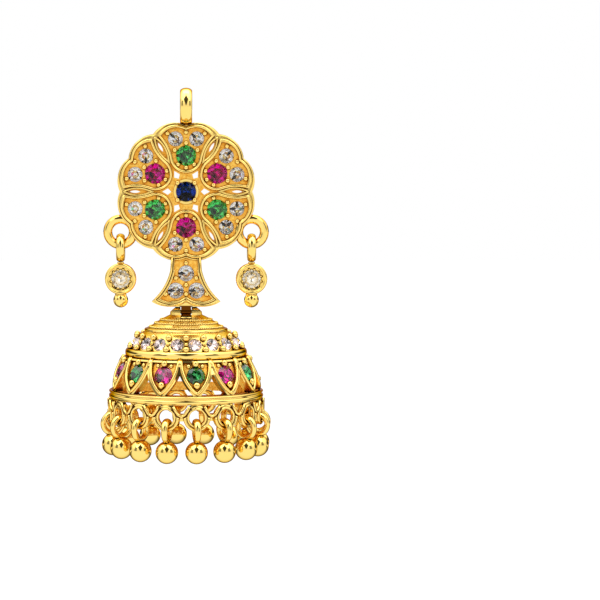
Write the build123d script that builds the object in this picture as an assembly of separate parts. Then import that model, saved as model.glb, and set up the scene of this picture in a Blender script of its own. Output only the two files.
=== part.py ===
from build123d import *
import os
from math import cos, radians, sin

# A gold-plated jhumka drop earring, in millimetres. +Z is up and the front faces -Y.
# The origin is on the back face of the stud plate, at the middle of its rosette, where the ear post starts.
# "Depth" is how far in front of that back face something lies, so a depth d is at y = -d.

# Stud plate: a cast rosette of six petals with a fishtail under it
FLOOR_DEPTH = 1.25          # back face to the floor that the stones are set in
RIM_DEPTH = 1.85            # back face to the top of the raised rims
BORDER_DEPTH = 1.5          # back face to the narrow border outside the rims
RIM_WIDTH = 0.3
PETALS = 6
PETAL_TURN = 360 / PETALS
LOBE_PEAK = (8.65, 10.5)    # radius and angle from the petal's middle, on the plate's outer edge
PETAL_NOTCH = 8.22          # radius of the outer edge at a petal's middle
PETAL_VALLEY = 8.06         # radius of the outer edge between two petals
EYE_CENTRE = 4.3            # the petal's round inner end, about its coloured stone
EYE_RADIUS = 2.0
EYE_END = 100               # angle at which the petal's side leaves that round
RIM_CORNER = (6.98, 3.58)   # the rim's outer corner, its lobe and its notch, along and across the petal
RIM_LOBE = (8.22, 1.55)
RIM_NOTCH = (7.9, 0)
CORNER_INSET = (0.35, 1.5)  # how far the rim's inner corner lies along and across, for each mm of rim
LOBE_INSET = (1, 0.25)
LEAF_TIPS = (4.0, 7.86)     # inner and outer end of the leaf loop between two petals
LEAF_WIDEST = (6.1, 0.62)
LEAF_DEPTH = 1.75
LEAF_BED_TIPS = (4.55, 7.5)
LEAF_BED_WIDEST = (6.1, 0.34)
SLIT_TIPS = (5.7, 7.0)      # pierced slit in the leaf's bed
SLIT_WIDEST = (6.35, 0.16)
EYELET_TIPS = (1.85, 2.95)  # pierced kite between the centre stone and two petals
EYELET_WIDEST = (2.25, 0.4)
CENTRE_SEAT_RADIUS = 1.55

# Fishtail, across and up
TAIL_NECK = (1.83, -7.6)
TAIL_WAIST = (1.95, -9.75)
TAIL_HIP = (2.75, -11.8)
TAIL_CORNER = (4.28, -13.66)
TAIL_LOBE = (2.1, -14.28)
TAIL_CUSP = (0, -13.6)
TAIL_RIM_WIDTH = 0.42
TAIL_HIP_INSET = 1.1        # how far the recess's edge lies inside, for each mm of rim
TAIL_CORNER_INSET = (1.9, 0.75)
TAIL_LOBE_INSET = 0.4

# Stones: radius, crown height, pavilion depth
STONE_SIDES = 16
STONE_TURN = 7
TABLE_SHARE = 0.58
GIRDLE_LIFT = 0.12          # girdle above the floor that it is set in
STONE_GAP = 0.05
POCKET_TURN = 37            # keeps the pockets' seams off the plate's edges
PETAL_STONE = (1.24, 0.42, 0.85)
WHITE_STONE = (0.91, 0.32, 0.62)
TAIL_STONE = (0.98, 0.34, 0.66)
CHARM_STONE = (1.14, 0.34, 0.6)
BAND_STONE = (1.12, 0.38, 0.62)
ROW_STONE = (0.8, 0.28, 0.45)
PETAL_STONE_AT = 4.46
WHITE_STONE_AT = (6.53, 1.32)
TAIL_STONES_AT = ((0, -10.16), (-1.29, -12.3), (1.29, -12.3))

# Bead prongs: radius, and how far the bead's middle is above its floor
PRONG = (0.27, 0.12)
BAND_PRONG = (0.36, 0.12)
ROW_PRONG = (0.27, 0.1)
PETAL_PRONGS = ((7.2, 2.33), (7.2, -2.33), (7.35, 0), (6.0, 0), (5.12, 1.42), (5.12, -1.42),
                (3.34, 1.02), (3.34, -1.02), (2.94, 0))
TAIL_PRONGS = ((0, -8.86), (1.28, -10.75), (-1.28, -10.75), (0, -11.6), (0, -12.75),
               (2.55, -12.75), (-2.55, -12.75))
CENTRE_PRONG_ANGLES = (45, 135, 225, 315)

# Rings on the plate
RING_DEPTH = 0.95           # all rings and the dome's axis lie in the middle of the plate's thickness
TOP_RING_Z = 10.5
TOP_RING = (1.95, 0.4, 0.75)    # mean radius, half of its metal along the radius, half of its width
TOP_COLLAR_RADIUS = 0.58
SIDE_RING_AT = (8.15, -5.0)
SIDE_RING = (1.59, 0.56, 0.5)
COLLAR_SINK = 0.45          # how far the top ring's collar starts inside the plate's edge

# Ear post
POST_RADIUS = 0.45
POST_LENGTH = 10.5
POST_TIP_RADIUS = 0.27

# Side charms
CHARM_X = 8.15
CHARM_BAIL_Z = -6.98
CHARM_BAIL = (1.4, 0.375, 0.53)
CHARM_BEZEL_Z = -10.84
CHARM_BEZEL_RADIUS = 1.96
CHARM_BEZEL_BACK = 0.2
CHARM_BEZEL_FRONT = 1.7
CHARM_GIRDLE_DEPTH = CHARM_BEZEL_FRONT - 0.3
CHARM_CHAMFER = 0.3
CHARM_LIP = 0.3             # flat lip round the stone
CHARM_NECK = (0.42, 0.5, 0.15)  # radius, height, and how far it stands out of the cup
CHARM_COLLAR = (0.5, 0.22)  # ring between cup and ball: mean radius, and half of its wire
CHARM_BALL_Z = -13.5
CHARM_BALL_RADIUS = 0.93

# Hinge between the plate's tongue and the dome's collar, about an axis along X
HINGE_Z = -14.95
PIN_RADIUS = 0.25
PIN_HALF_LENGTH = 1.6
EAR_HOLE_RADIUS = 0.27
TONGUE_HOLE_RADIUS = 0.31
TONGUE_RADIUS = 0.68
TONGUE_HALF_WIDTH = 0.62
SLOT_HALF_WIDTH = 0.7
SLOT_RADIUS = 0.75
SLOT_HEIGHT = 3
TONGUE_WEB_HEIGHT = 0.6
TONGUE_SHOULDER = (1.85, -14.3)     # half width and foot of the cast shoulders on both sides of the tongue
EAR_RADIUS = 0.6
COLLAR_RADIUS = 2.0
COLLAR_SHOULDER = (1.95, 0.05)  # radius, and height over the axis, of the collar's shoulder and of its top
COLLAR_TOP = (1.3, 0.6)

# Dome: outer radius and height of each step down from the collar
WALL = 1.15
CROWN_TOP = (COLLAR_RADIUS, -15.3)
CROWN_SHOULDER = (3.78, -16.26)
CROWN_FOOT = (5.3, -17.4)
CROWN_BEAD = (4.95, -17.17, 0.22)   # wire round the crown: radius, height, and half of its wire
ROW_TOP = (5.95, -17.75)
ROW_FOOT = (6.95, -19.5)
UPPER_RING = (7.4, -19.5, -20.45)
BAND_TOP = (7.78, -20.45)
BAND_BELLY = (8.78, -22.5)
BAND_FOOT = (9.25, -24.7)
LOWER_RING = (9.5, -24.7, -25.65)

ROW_STONES = 18
ROW_STONE_AT = (6.45, -18.62)
ROW_TILT = 30
ROW_FIRST = 10              # azimuth of the first stone, from the front towards +X
ROW_PRONGS = ((6.08, -17.85), (6.92, -19.22))

BAND_PETALS = 13
BAND_TURN = 360 / BAND_PETALS
BAND_FIRST = 8.3
BAND_STONE_AT = (8.3, -22.2)
BAND_TILT = 23
BAND_RECESS = 0.35
BAND_PETAL = ((1.62, -20.65), (1.3, -22.4), (0, -24.15))    # across and up: top corner, side, tip
BAND_GAP = ((0, -21.75), (0.72, -23.2), (1.85, -24.6))      # across and up: apex, side, base corner
BAND_GAP_INSIDE = ((0, -22.7), (0.45, -23.7), (1.1, -24.45))    # the same on the inside: the walls slope in
BAND_PRONG_OFFSETS = (1.45, -1.4)

LOOPS = 16
LOOP_TURN = 360 / LOOPS
LOOP_FIRST = 7.9
LOOP_AT = (9.2, -27.15)
LOOP = (1.26, 0.36)         # mean radius, and half of its wire
WEB = (0.95, 0.9, 0.55)     # width, height and thickness of the strip between two loops

# Ball drops on the loops
DROP_BAIL_Z = -28.83
DROP_BAIL = (1.2, 0.355, 0.4)
DROP_BALL_Z = -31.42
DROP_BALL_RADIUS = 1.38

FRONT = Plane.XZ            # drawn on: x is across, y is up, and it faces the viewer


# Shared shapes

def layer(face, back, front):
    """Extrudes a face drawn on the front plane, from one depth to another."""
    return extrude(FRONT.offset(back) * face, front - back)


def at_depth(x, z, depth):
    """A plane on the stud's front, facing the viewer."""
    return Plane(origin=(x, -depth, z), x_dir=(1, 0, 0), z_dir=(0, -1, 0))


def on_dome(azimuth, radius, z, tilt=0):
    """A plane on the dome that faces outwards, tilted up by some degrees."""
    a, t = radians(azimuth), radians(tilt)
    return Plane(
        origin=(radius * sin(a), -RING_DEPTH - radius * cos(a), z),
        x_dir=(cos(a), sin(a), 0),
        z_dir=(cos(t) * sin(a), -cos(t) * cos(a), sin(t)),
    )


def polar(radius, angle):
    return (radius * cos(radians(angle)), radius * sin(radians(angle)))


def on_petal(turn, along, across):
    """A point of a petal that points along +X, after the petal is turned to its place."""
    spot = Rot(0, 0, turn) * Pos(along, across)
    return spot.position.X, spot.position.Y


def mirrored_face(half):
    """A face from the upper half of its outline, drawn from one point on the X axis to another."""
    return make_face(half + mirror(half, Plane.XZ))


def lens(tips, widest):
    """A pointed oval along X."""
    along, half_width = widest
    return mirrored_face(Curve() + ThreePointArc((tips[0], 0), (along, half_width), (tips[1], 0)))


def oval_ring(mean_radius, half_radial, half_width):
    """A ring about Z whose metal has an oval section."""
    section = Plane.XZ * Pos(mean_radius, 0) * Ellipse(half_radial, half_width)
    return revolve(section, Axis.Z)


def cut_stone(radius, crown, pavilion):
    """A round stone about Z, girdle at z = 0, with a table, sixteen crown facets and sixteen below."""
    girdle = RegularPolygon(radius, STONE_SIDES, rotation=STONE_TURN).face()
    table = Pos(0, 0, crown) * RegularPolygon(TABLE_SHARE * radius, STONE_SIDES, rotation=STONE_TURN)
    culet = Vertex(0, 0, -pavilion)
    return loft([girdle, table.face()], ruled=True) + loft([girdle, culet], ruled=True)


def stone_pocket(radius, crown, pavilion):
    """The hollow for such a stone, a gap wider all round, and open above it."""
    wide = radius + STONE_GAP
    foot = -pavilion - 2 * STONE_GAP
    top = crown + 1
    section = Polyline((0, foot), (STONE_GAP, foot), (wide, 0), (wide, top), (0, top), close=True)
    return Rot(0, 0, POCKET_TURN) * revolve(Plane.XZ * make_face(section), Axis.Z)


def bead(radius, lift):
    return Pos(0, 0, lift) * Sphere(radius)


# Stud plate

def rosette_outline():
    """The plate's scalloped outer edge: two lobes to each petal."""
    edge = Curve()
    for i in range(PETALS):
        middle = i * PETAL_TURN
        for side in (-1, 1):
            edge += ThreePointArc(
                polar(PETAL_NOTCH, middle),
                polar(LOBE_PEAK[0], middle + side * LOBE_PEAK[1]),
                polar(PETAL_VALLEY, middle + side * PETAL_TURN / 2),
            )
    return make_face(edge)


def petal_outline(inset=0):
    """One petal along +X, as far inside its rim's outer edge as the inset."""
    eye = CenterArc((EYE_CENTRE, 0), EYE_RADIUS - inset, 180, EYE_END - 180)
    corner = (RIM_CORNER[0] - CORNER_INSET[0] * inset, RIM_CORNER[1] - CORNER_INSET[1] * inset)
    lobe = (RIM_LOBE[0] - LOBE_INSET[0] * inset, RIM_LOBE[1] - LOBE_INSET[1] * inset)
    notch = (RIM_NOTCH[0] - inset, 0)
    side = TangentArc(eye @ 1, corner, tangent=eye % 1)
    end = ThreePointArc(corner, lobe, notch)
    return mirrored_face(eye + side + end)


def tail_outline(rim=0):
    """The fishtail's outer edge, or the edge of its stone floor inside a rim."""
    neck = (TAIL_NECK[0] - rim, TAIL_NECK[1])
    waist = (TAIL_WAIST[0] - rim, TAIL_WAIST[1])
    corner = (TAIL_CORNER[0] - TAIL_CORNER_INSET[0] * rim, TAIL_CORNER[1] + TAIL_CORNER_INSET[1] * rim)
    hip = (TAIL_HIP[0] - TAIL_HIP_INSET * rim, TAIL_HIP[1])
    lobe = (TAIL_LOBE[0] - TAIL_LOBE_INSET * rim, TAIL_LOBE[1] + rim)
    cusp = (0, TAIL_CUSP[1] + rim)
    half = Line(neck, waist) + ThreePointArc(waist, hip, corner) + ThreePointArc(corner, lobe, cusp)
    outline = half + mirror(half, Plane.YZ) + Line(neck, (-neck[0], neck[1]))
    return make_face(outline)


def petal_places():
    """The turn of each petal, clockwise from the top one as seen from the front."""
    return [90 - i * PETAL_TURN for i in range(PETALS)]


def make_stud_plate():
    border = rosette_outline()
    tail = tail_outline()
    petal = petal_outline()
    slit = lens(SLIT_TIPS, SLIT_WIDEST)
    eyelet = Polygon((EYELET_TIPS[0], 0), (EYELET_WIDEST[0], -EYELET_WIDEST[1]), (EYELET_TIPS[1], 0),
                     EYELET_WIDEST, align=None)
    halfway = [turn + PETAL_TURN / 2 for turn in petal_places()]
    petals = Sketch() + [Rot(0, 0, turn) * petal for turn in petal_places()]
    inner = Sketch() + [Rot(0, 0, turn) * petal_outline(RIM_WIDTH) for turn in petal_places()]
    leaf = lens(LEAF_TIPS, LEAF_WIDEST) - lens(LEAF_BED_TIPS, LEAF_BED_WIDEST)
    leaves = Sketch() + [Rot(0, 0, turn) * leaf for turn in halfway]
    holes = Sketch() + [Rot(0, 0, turn) * hole for turn in halfway for hole in (slit, eyelet)]
    disc = Circle(PETAL_VALLEY - 1)

    body = layer(border + tail - holes, 0, FLOOR_DEPTH)
    body += layer(Circle(CENTRE_SEAT_RADIUS), FLOOR_DEPTH, BORDER_DEPTH)
    for _, place, size in rosette_stones() + tail_stones():
        body -= place * stone_pocket(*size)
    body += layer(border - petals - disc, FLOOR_DEPTH, BORDER_DEPTH)
    body += layer(petals - inner, FLOOR_DEPTH, RIM_DEPTH)
    body += layer(leaves - petals, FLOOR_DEPTH, LEAF_DEPTH)
    body += layer(tail - tail_outline(TAIL_RIM_WIDTH) - petals, FLOOR_DEPTH, RIM_DEPTH)

    prongs = []
    for turn in petal_places():
        for along, across in PETAL_PRONGS:
            prongs.append(at_depth(*on_petal(turn, along, across), FLOOR_DEPTH) * bead(*PRONG))
    for angle in CENTRE_PRONG_ANGLES:
        prongs.append(at_depth(*polar(CENTRE_SEAT_RADIUS, angle), BORDER_DEPTH) * bead(*PRONG))
    for x, z in TAIL_PRONGS:
        prongs.append(at_depth(x, z, FLOOR_DEPTH) * bead(*PRONG))
    body += prongs

    body += Pos(0, -RING_DEPTH, TOP_RING_Z) * Rot(0, 90, 0) * oval_ring(*TOP_RING)
    collar_foot = PETAL_NOTCH - COLLAR_SINK
    collar_height = TOP_RING_Z - TOP_RING[0] - collar_foot
    body += Pos(0, -RING_DEPTH, collar_foot) * Cylinder(
        TOP_COLLAR_RADIUS, collar_height, align=(Align.CENTER, Align.CENTER, Align.MIN))
    x, z = SIDE_RING_AT
    side_ring = Rot(90, 0, 0) * oval_ring(*SIDE_RING)
    rings = [Pos(side * x, -RING_DEPTH, z) * side_ring for side in (-1, 1)]
    body += [ring - layer(border, -RIM_DEPTH, 2 * RIM_DEPTH) for ring in rings]
    return body + make_tongue()


def make_tongue():
    """The eye under the fishtail that the dome hangs from, about the hinge axis, and its shoulders."""
    eye = Circle(TONGUE_RADIUS)
    neck = Pos(0, TONGUE_RADIUS) * Rectangle(2 * TONGUE_RADIUS, 2 * TONGUE_RADIUS)
    web = Pos(0, TAIL_CUSP[1] - HINGE_Z) * Rectangle(2 * TONGUE_RADIUS, TONGUE_WEB_HEIGHT)
    profile = eye + neck + web - Circle(TONGUE_HOLE_RADIUS)
    hinge_plane = Plane(origin=(0, -RING_DEPTH, HINGE_Z), x_dir=(0, 1, 0), z_dir=(1, 0, 0))
    tongue = extrude(hinge_plane * profile, TONGUE_HALF_WIDTH, both=True)
    half_width, foot = TONGUE_SHOULDER
    shoulders = Pos(0, -RING_DEPTH, foot) * Box(
        2 * half_width, 2 * TONGUE_RADIUS, TAIL_CUSP[1] - foot, align=(Align.CENTER, Align.CENTER, Align.MIN))
    return tongue + shoulders


def make_ear_post():
    """A plain round post with a rounded end, butted to the plate's back face."""
    post = Cylinder(POST_RADIUS, POST_LENGTH, align=(Align.CENTER, Align.CENTER, Align.MIN))
    tip = fillet(post.edges().group_by(Axis.Z)[-1], POST_TIP_RADIUS)
    return Rot(-90, 0, 0) * tip


# Side charms

def make_charm(side):
    """Bail, stone cup, collar and ball, soldered together."""
    cup = Polyline(
        (0, CHARM_BEZEL_BACK),
        (CHARM_BEZEL_RADIUS - CHARM_CHAMFER, CHARM_BEZEL_BACK),
        (CHARM_BEZEL_RADIUS, CHARM_BEZEL_BACK + CHARM_CHAMFER),
        (CHARM_BEZEL_RADIUS, CHARM_BEZEL_FRONT - CHARM_CHAMFER),
        (CHARM_BEZEL_RADIUS - CHARM_CHAMFER, CHARM_BEZEL_FRONT),
        (CHARM_STONE[0] + CHARM_LIP, CHARM_BEZEL_FRONT),
        (CHARM_STONE[0] + STONE_GAP, CHARM_GIRDLE_DEPTH),
        (0, CHARM_GIRDLE_DEPTH),
        close=True,
    )
    cup = revolve(make_face(cup), Axis.Y)
    cup -= Pos(0, CHARM_GIRDLE_DEPTH, 0) * Rot(-90, 0, 0) * stone_pocket(*CHARM_STONE)
    x = side * CHARM_X
    body = Pos(x, 0, CHARM_BEZEL_Z) * mirror(cup, Plane.XZ)
    body += Pos(x, -RING_DEPTH, CHARM_BAIL_Z) * Rot(0, 90, 0) * oval_ring(*CHARM_BAIL)
    neck_radius, neck_height, neck_rise = CHARM_NECK
    neck_z = CHARM_BEZEL_Z + CHARM_BEZEL_RADIUS + neck_rise - neck_height / 2
    body += Pos(x, -RING_DEPTH, neck_z) * Cylinder(neck_radius, neck_height)
    collar = Torus(*CHARM_COLLAR) + Cylinder(CHARM_COLLAR[0], 2 * CHARM_COLLAR[1])
    body += Pos(x, -RING_DEPTH, CHARM_BEZEL_Z - CHARM_BEZEL_RADIUS) * collar
    return body + Pos(x, -RING_DEPTH, CHARM_BALL_Z) * Sphere(CHARM_BALL_RADIUS)


# Hinge pin and dome

def make_hinge_pin():
    return Pos(0, -RING_DEPTH, HINGE_Z) * Rot(0, 90, 0) * Cylinder(PIN_RADIUS, 2 * PIN_HALF_LENGTH)


def make_dome_shell():
    """The turned wall: crown, stone row, upper ring, petal band and lower ring, open below."""
    ring_r, ring_top, ring_foot = UPPER_RING
    low_r, low_top, low_foot = LOWER_RING
    crown = ThreePointArc(CROWN_TOP, CROWN_SHOULDER, CROWN_FOOT)
    band = ThreePointArc(BAND_TOP, BAND_BELLY, BAND_FOOT)
    outside = Polyline((0, HINGE_Z), (COLLAR_RADIUS, HINGE_Z), CROWN_TOP) + crown
    outside += Polyline(CROWN_FOOT, ROW_TOP, ROW_FOOT, (ring_r, ring_top), (ring_r, ring_foot), BAND_TOP)
    outside += band
    outside += Polyline(BAND_FOOT, (low_r, low_top), (low_r, low_foot), (low_r - WALL, low_foot))
    inner_belly = (BAND_BELLY[0] - WALL, BAND_BELLY[1])
    inner_top = (BAND_TOP[0] - WALL, BAND_TOP[1])
    inner_band = ThreePointArc((low_r - WALL, low_foot), inner_belly, inner_top)
    inner_row = (ROW_TOP[0] - WALL, ROW_TOP[1] - WALL / 2)
    inner_crown = (CROWN_TOP[0], CROWN_TOP[1] - 1.2 * WALL)
    inside = inner_band + Line(inner_top, inner_row) + Line(inner_row, inner_crown)
    inside += Polyline(inner_crown, (0, inner_crown[1]), (0, HINGE_Z))
    shell = revolve(Plane.XZ * make_face(outside + inside), Axis.Z)
    return Pos(0, -RING_DEPTH, 0) * shell


def make_collar():
    """Two round ears with a slot between them, standing on the crown and bored for the pin."""
    section = Polyline((0, -EAR_RADIUS), (COLLAR_RADIUS, -EAR_RADIUS), COLLAR_SHOULDER, COLLAR_TOP,
                       (0, COLLAR_TOP[1]), close=True)
    block = Pos(0, -RING_DEPTH, HINGE_Z) * revolve(Plane.XZ * make_face(section), Axis.Z)
    return block & (Pos(0, -RING_DEPTH, HINGE_Z) * Rot(0, 90, 0) * Cylinder(EAR_RADIUS, 3 * COLLAR_RADIUS))


def band_places():
    return [BAND_FIRST + i * BAND_TURN for i in range(BAND_PETALS)]


def row_places():
    return [ROW_FIRST + i * 360 / ROW_STONES for i in range(ROW_STONES)]


def loop_places():
    return [LOOP_FIRST + i * LOOP_TURN for i in range(LOOPS)]


def through_band(face, azimuth, inner_face=None):
    """A solid through the petal band, from a face drawn across and up to one on the inside."""
    outside = on_dome(azimuth, LOWER_RING[0], 0) * face
    inside = on_dome(azimuth, BAND_TOP[0] - 2 * WALL, 0) * (inner_face or face)
    return loft([outside, inside], ruled=True)


def pointed_face(apex, side, corner):
    """A face with two curved sides from its point to its flat end, mirrored about the vertical."""
    left_side, left_corner = (-side[0], side[1]), (-corner[0], corner[1])
    return make_face(ThreePointArc(apex, side, corner) + Line(corner, left_corner)
                     + ThreePointArc(left_corner, left_side, apex))


def make_band_cuts():
    """Petal recesses, and the pierced gaps between them."""
    outer = ThreePointArc(BAND_TOP, BAND_BELLY, BAND_FOOT)
    skin = make_face(outer + Polyline(
        BAND_FOOT,
        (BAND_FOOT[0] + 1, BAND_FOOT[1]),
        (BAND_FOOT[0] + 1, BAND_TOP[1]),
        BAND_TOP,
    ))
    skin = Pos(-BAND_RECESS, 0) * skin
    outside = Pos(0, -RING_DEPTH, 0) * revolve(Plane.XZ * skin, Axis.Z)
    petal = pointed_face(*reversed(BAND_PETAL))
    gap, gap_inside = pointed_face(*BAND_GAP), pointed_face(*BAND_GAP_INSIDE)
    recesses = [through_band(petal, azimuth) & outside for azimuth in band_places()]
    gaps = [through_band(gap, azimuth + BAND_TURN / 2, gap_inside) for azimuth in band_places()]
    return recesses + gaps


def make_dome():
    """Collar, crown, stone row, petal band, rings and loops: one cast and soldered piece."""
    dome = make_dome_shell() + make_collar()
    slot = Pos(0, -RING_DEPTH, HINGE_Z - SLOT_RADIUS) * Box(
        2 * SLOT_HALF_WIDTH, 3 * COLLAR_RADIUS, SLOT_HEIGHT, align=(Align.CENTER, Align.CENTER, Align.MIN))
    bore = Pos(0, -RING_DEPTH, HINGE_Z) * Rot(0, 90, 0) * Cylinder(EAR_HOLE_RADIUS, 3 * COLLAR_RADIUS)
    bead_radius, bead_z, half_wire = CROWN_BEAD
    dome += Pos(0, -RING_DEPTH, bead_z) * Torus(bead_radius, half_wire)
    pockets = [place * stone_pocket(*size) for _, place, size in band_stones() + row_stones()]
    dome -= [slot, bore] + make_band_cuts() + pockets
    for offset in BAND_PRONG_OFFSETS:
        dome += [on_dome(azimuth, *BAND_STONE_AT, BAND_TILT) * Pos(0, offset) * bead(*BAND_PRONG)
                 for azimuth in band_places()]
    for radius, z in ROW_PRONGS:
        dome += [on_dome(azimuth + 180 / ROW_STONES, radius, z, ROW_TILT) * bead(*ROW_PRONG)
                 for azimuth in row_places()]
    return dome + make_skirt()


def make_skirt():
    """Loops under the lower ring, joined side to side by short webs."""
    radius, z = LOOP_AT
    web_radius = radius * cos(radians(LOOP_TURN / 2))
    loops = [on_dome(azimuth, radius, z) * Torus(*LOOP) for azimuth in loop_places()]
    webs = [on_dome(azimuth + LOOP_TURN / 2, web_radius, z) * Box(*WEB) for azimuth in loop_places()]
    return Part() + loops + webs


def make_drop(azimuth):
    """A ball under its bail, which hangs in one of the dome's loops."""
    radius = LOOP_AT[0]
    bail = on_dome(azimuth, radius, DROP_BAIL_Z) * Rot(0, 90, 0) * oval_ring(*DROP_BAIL)
    return bail + on_dome(azimuth, radius, DROP_BALL_Z) * Sphere(DROP_BALL_RADIUS)


# Stones: name, place and size of each

def rosette_stones():
    depth = FLOOR_DEPTH + GIRDLE_LIFT
    stones = [("stone_centre", at_depth(0, 0, BORDER_DEPTH + GIRDLE_LIFT), PETAL_STONE)]
    for number, turn in enumerate(petal_places(), start=1):
        stones.append((f"stone_petal_{number}", at_depth(*polar(PETAL_STONE_AT, turn), depth), PETAL_STONE))
        for across in (-WHITE_STONE_AT[1], WHITE_STONE_AT[1]):
            spot = on_petal(turn, WHITE_STONE_AT[0], across)
            stones.append(("stones_white_rosette", at_depth(*spot, depth), WHITE_STONE))
    return stones


def tail_stones():
    return [
        (f"stone_tail_{number}", at_depth(x, z, FLOOR_DEPTH + GIRDLE_LIFT), TAIL_STONE)
        for number, (x, z) in enumerate(TAIL_STONES_AT, start=1)
    ]


def charm_stones():
    return [
        (name, at_depth(side * CHARM_X, CHARM_BEZEL_Z, CHARM_GIRDLE_DEPTH), CHARM_STONE)
        for name, side in (("stone_charm_left", -1), ("stone_charm_right", 1))
    ]


def band_stones():
    return [
        (f"stone_band_{number:02d}", on_dome(azimuth, *BAND_STONE_AT, BAND_TILT), BAND_STONE)
        for number, azimuth in enumerate(band_places(), start=1)
    ]


def row_stones():
    return [("stones_crown_row", on_dome(azimuth, *ROW_STONE_AT, ROW_TILT), ROW_STONE)
            for azimuth in row_places()]


def make_parts():
    """Every piece by its name."""
    parts = {
        "stud_plate": make_stud_plate(),
        "ear_post": make_ear_post(),
        "charm_left": make_charm(-1),
        "charm_right": make_charm(1),
        "hinge_pin": make_hinge_pin(),
        "dome": make_dome(),
    }
    for number, azimuth in enumerate(loop_places(), start=1):
        parts[f"drop_{number:02d}"] = make_drop(azimuth)
    fields = {}
    stud_stones = rosette_stones() + tail_stones() + charm_stones()
    for name, place, size in stud_stones + band_stones() + row_stones():
        fields.setdefault(name, []).append(place * cut_stone(*size))
    for name, stones in fields.items():
        parts[name] = stones[0] if len(stones) == 1 else Compound(children=stones)
    return parts


os.makedirs("parts", exist_ok=True)
for name, shape in make_parts().items():
    export_step(shape, f"parts/{name}.step")
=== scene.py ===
import random
from math import atan2, cos, degrees, hypot, pi, radians, sin, sqrt, tan

import bpy
import bmesh
from mathutils import Matrix, Vector


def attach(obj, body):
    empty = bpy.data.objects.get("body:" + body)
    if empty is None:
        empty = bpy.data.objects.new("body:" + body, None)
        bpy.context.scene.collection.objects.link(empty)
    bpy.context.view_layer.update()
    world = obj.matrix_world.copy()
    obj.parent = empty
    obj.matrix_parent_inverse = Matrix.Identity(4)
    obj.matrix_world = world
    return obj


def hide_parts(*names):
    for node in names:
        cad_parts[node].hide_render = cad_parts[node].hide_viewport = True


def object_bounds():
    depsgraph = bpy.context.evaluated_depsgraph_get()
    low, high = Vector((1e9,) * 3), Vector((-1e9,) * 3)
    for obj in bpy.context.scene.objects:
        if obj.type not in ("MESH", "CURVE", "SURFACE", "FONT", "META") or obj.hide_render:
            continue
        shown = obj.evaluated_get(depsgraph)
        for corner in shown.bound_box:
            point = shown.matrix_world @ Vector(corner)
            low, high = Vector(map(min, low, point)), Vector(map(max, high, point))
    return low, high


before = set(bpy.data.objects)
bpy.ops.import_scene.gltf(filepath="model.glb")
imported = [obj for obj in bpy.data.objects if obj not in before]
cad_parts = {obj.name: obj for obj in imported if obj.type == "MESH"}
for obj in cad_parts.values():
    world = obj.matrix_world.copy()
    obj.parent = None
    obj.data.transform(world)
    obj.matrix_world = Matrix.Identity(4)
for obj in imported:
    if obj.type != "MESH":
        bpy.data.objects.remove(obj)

cad_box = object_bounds()
MM = 0.001


# --- Stud plate casting -------------------------------------------------------------------------------
# One cast brass plate, a six-petalled rosette over a fishtail, with its rings soldered on. It is gold
# plated all over: bright in front, pebbled on the floors that hold the stones, and satin on the back that
# lies against the ear. Shade is painted into its colour: dark in the crevices and on the tongue that the
# dome hangs from, and deeper orange on the floors near their walls.

RICH_GOLD, PALE_GOLD = (1.0, 0.70, 0.18, 1), (1.0, 0.74, 0.23, 1)
CAST_HOLLOWS, CAST_PEBBLES = (0.88, 0.42, 0.05, 1), (1.0, 0.62, 0.12, 1)
# Painted shade: the deeper orange of the floors near walls, and the dark gold of crevices and shaded parts.
RECESS_SHADE_GOLD, PAINTED_SHADE_GOLD = (0.74, 0.28, 0.02, 1), (0.12, 0.035, 0.003, 1)
GLANCING_TINT = (0.35, 0.14, 0.02, 1)
CREVICE_REACH, RECESS_REACH = 0.32, 1.4         # how near a wall has to be to shade the metal
WEAR_SCALE, PEBBLE_SCALE = 700, 3600            # noise cells in a metre
BRIGHT, SATIN_BACK = 0.07, 0.22                 # the plate's roughness, and what its back adds to that
FLOOR, FLOOR_SLACK = 1.25, 0.05                 # the floors' depth before the back face, more or less
RING_FOOT = 8.3                                 # the height at which the top ring starts
TONGUE_HALF_WIDTH, TONGUE_TOP = 0.76, -14.2


def shader_tree(name):
    """A new material's node tree and its Principled shader."""
    material = bpy.data.materials.new(name)
    material.use_nodes = True
    return material, material.node_tree, material.node_tree.nodes["Principled BSDF"]


def feed(tree, value, socket):
    """Sets a socket to a number or colour, or links another node's output to it."""
    if isinstance(value, bpy.types.NodeSocket):
        tree.links.new(value, socket)
    else:
        socket.default_value = value


def place_node(tree, kind, inputs=(), **settings):
    """Adds a node with its settings and its inputs, by name or by number."""
    node = tree.nodes.new("ShaderNode" + kind)
    for name, value in settings.items():
        setattr(node, name, value)
    for name, value in dict(inputs).items():
        feed(tree, value, node.inputs[name])
    return node


def maths(tree, operation, *values):
    return place_node(tree, "Math", dict(enumerate(values)), operation=operation).outputs[0]


def step(tree, value, low, high):
    """0 on the low side, 1 on the high side, and smooth between."""
    return place_node(tree, "MapRange", {"Value": value, "From Min": low, "From Max": high},
                      interpolation_type="SMOOTHSTEP").outputs[0]


def mix_colours(tree, factor, first, second):
    node = place_node(tree, "Mix", {"Factor": factor}, data_type="RGBA")
    feed(tree, first, node.inputs["A"])
    feed(tree, second, node.inputs["B"])
    return node.outputs["Result"]


def spot_axes(tree):
    """Where the shaded spot lies in its object's own frame: X, Y and Z in millimetres."""
    spot = place_node(tree, "TexCoord").outputs["Object"]
    scaled = place_node(tree, "VectorMath", {0: spot, "Scale": 1 / MM}, operation="SCALE").outputs[0]
    return place_node(tree, "SeparateXYZ", {0: scaled}).outputs


def openness(tree, reach):
    """How open the metal is to the light: 1 in the open, less where walls stand within that reach."""
    return place_node(tree, "AmbientOcclusion", {"Distance": reach * MM}, samples=8).outputs["AO"]


def uneven(tree, scale, detail):
    """Noise from 0 to 1 that stays with the object, with so many cells in a metre."""
    spot = place_node(tree, "TexCoord").outputs["Object"]
    return place_node(tree, "TexNoise", {"Vector": spot, "Scale": scale, "Detail": detail}).outputs["Fac"]


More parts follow.
